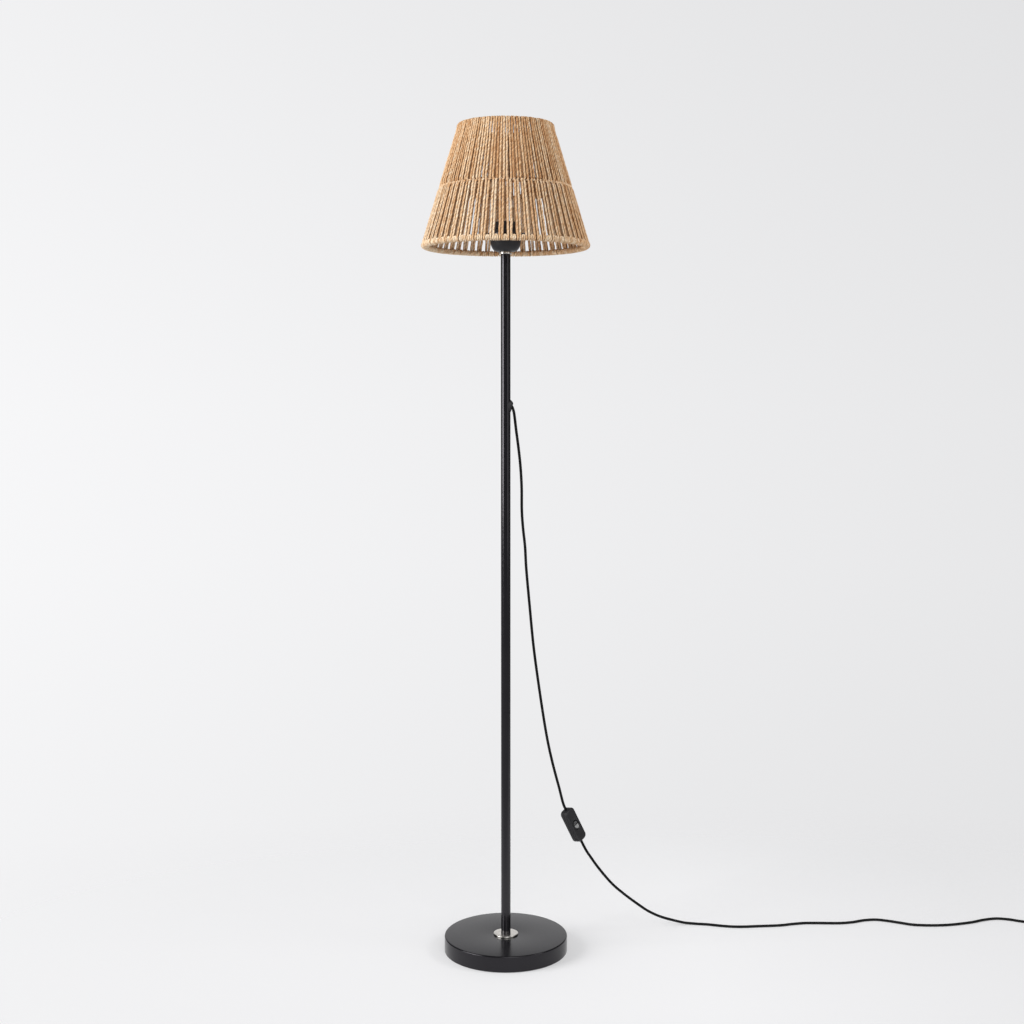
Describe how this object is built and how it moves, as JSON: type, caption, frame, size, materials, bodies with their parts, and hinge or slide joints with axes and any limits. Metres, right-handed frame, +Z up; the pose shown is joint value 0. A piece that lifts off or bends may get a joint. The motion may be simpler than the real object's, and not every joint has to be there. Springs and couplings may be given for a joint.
{
  "type": "floor lamp",
  "caption": "Slim pole floor lamp on a weighted round foot, with a tapered shade of twisted natural cord over a wire frame, an open lampholder and an inline rocker switch on its mains cord.",
  "frame": {"origin": "middle of the foot's underside, on the floor", "axes": "+Z up along the pole, +X to the right with the cord, front at -Y"},
  "size_m": [1.2494, 0.3069, 1.5],
  "materials": {
    "black_paint": "satin black powder coat",
    "nickel": "satin nickel plating",
    "zinc_steel": "zinc plated",
    "brass": "plain",
    "cast_weight": "cast, unpainted",
    "felt": "felt",
    "ceramic": "unglazed",
    "black_plastic": "fine matte",
    "rocker_grey": "fine matte",
    "cord_black": "matte cord jacket",
    "natural_cord": "twisted natural fibre"
  },
  "bodies": {
    "lamp": {"base_felt": "felt", "base_weight": "cast_weight", "base_cover": "black_paint", "base_washer": "zinc_steel", "base_nut": "zinc_steel", "base_stud": "zinc_steel", "foot_disc": "nickel", "pole_lower": "black_paint", "pole_middle": "black_paint", "pole_upper": "black_paint", "pole_bush_1": "zinc_steel", "pole_bush_2": "zinc_steel", "pole_bush_3": "zinc_steel", "pole_bush_4": "zinc_steel", "pole_bush_5": "zinc_steel", "pole_bush_6": "zinc_steel", "joint_nipple_1": "zinc_steel", "joint_nipple_2": "zinc_steel", "top_collar": "nickel", "top_nipple": "zinc_steel", "cord_grommet": "black_plastic", "pole_cable": "cord_black", "holder_cup": "black_plastic", "holder_nut": "zinc_steel", "holder_sleeve": "black_plastic", "holder_core": "ceramic", "holder_screw_shell": "brass", "holder_contact": "brass", "holder_terminal_1": "brass", "holder_terminal_2": "brass", "cord_upper": "cord_black", "cord_lower": "cord_black", "cord_coil": "cord_black", "switch_front": "black_plastic", "switch_back": "black_plastic", "switch_pin": "zinc_steel", "switch_contact": "brass", "switch_screw_1": "zinc_steel", "switch_screw_2": "zinc_steel", "switch_lead_1": "cord_black", "switch_lead_2": "cord_black", "plug_body": "black_plastic", "plug_pin_1": "nickel", "plug_pin_2": "nickel"},
    "shade": {"shade_spider": "black_paint", "shade_ring_top": "black_paint", "shade_ring_middle": "black_paint", "shade_ring_bottom": "black_paint", "shade_strut_1": "black_paint", "shade_strut_2": "black_paint", "shade_strut_3": "black_paint", "winding_upper": "natural_cord", "winding_lower": "natural_cord"},
    "clamp_ring": {"clamp_ring": "black_plastic"},
    "rocker": {"switch_rocker": "rocker_grey"}
  },
  "joints": [
    {"name": "shade_turn", "type": "hinge", "parent": "lamp", "child": "shade", "pos_m": [0, 0, 1.307], "axis": [0, 0, 1], "continuous": true},
    {"name": "clamp_ring_turn", "type": "hinge", "parent": "lamp", "child": "clamp_ring", "pos_m": [0, 0, 1.312], "axis": [0, 0, 1], "range_deg": [0, 1080]},
    {"name": "rocker_press", "type": "hinge", "parent": "lamp", "child": "rocker", "pos_m": [0.12933, 0.04285, 0.22292], "axis": [0.5893, 0.6963, 0.4098], "range_deg": [0, 14]}
  ]
}
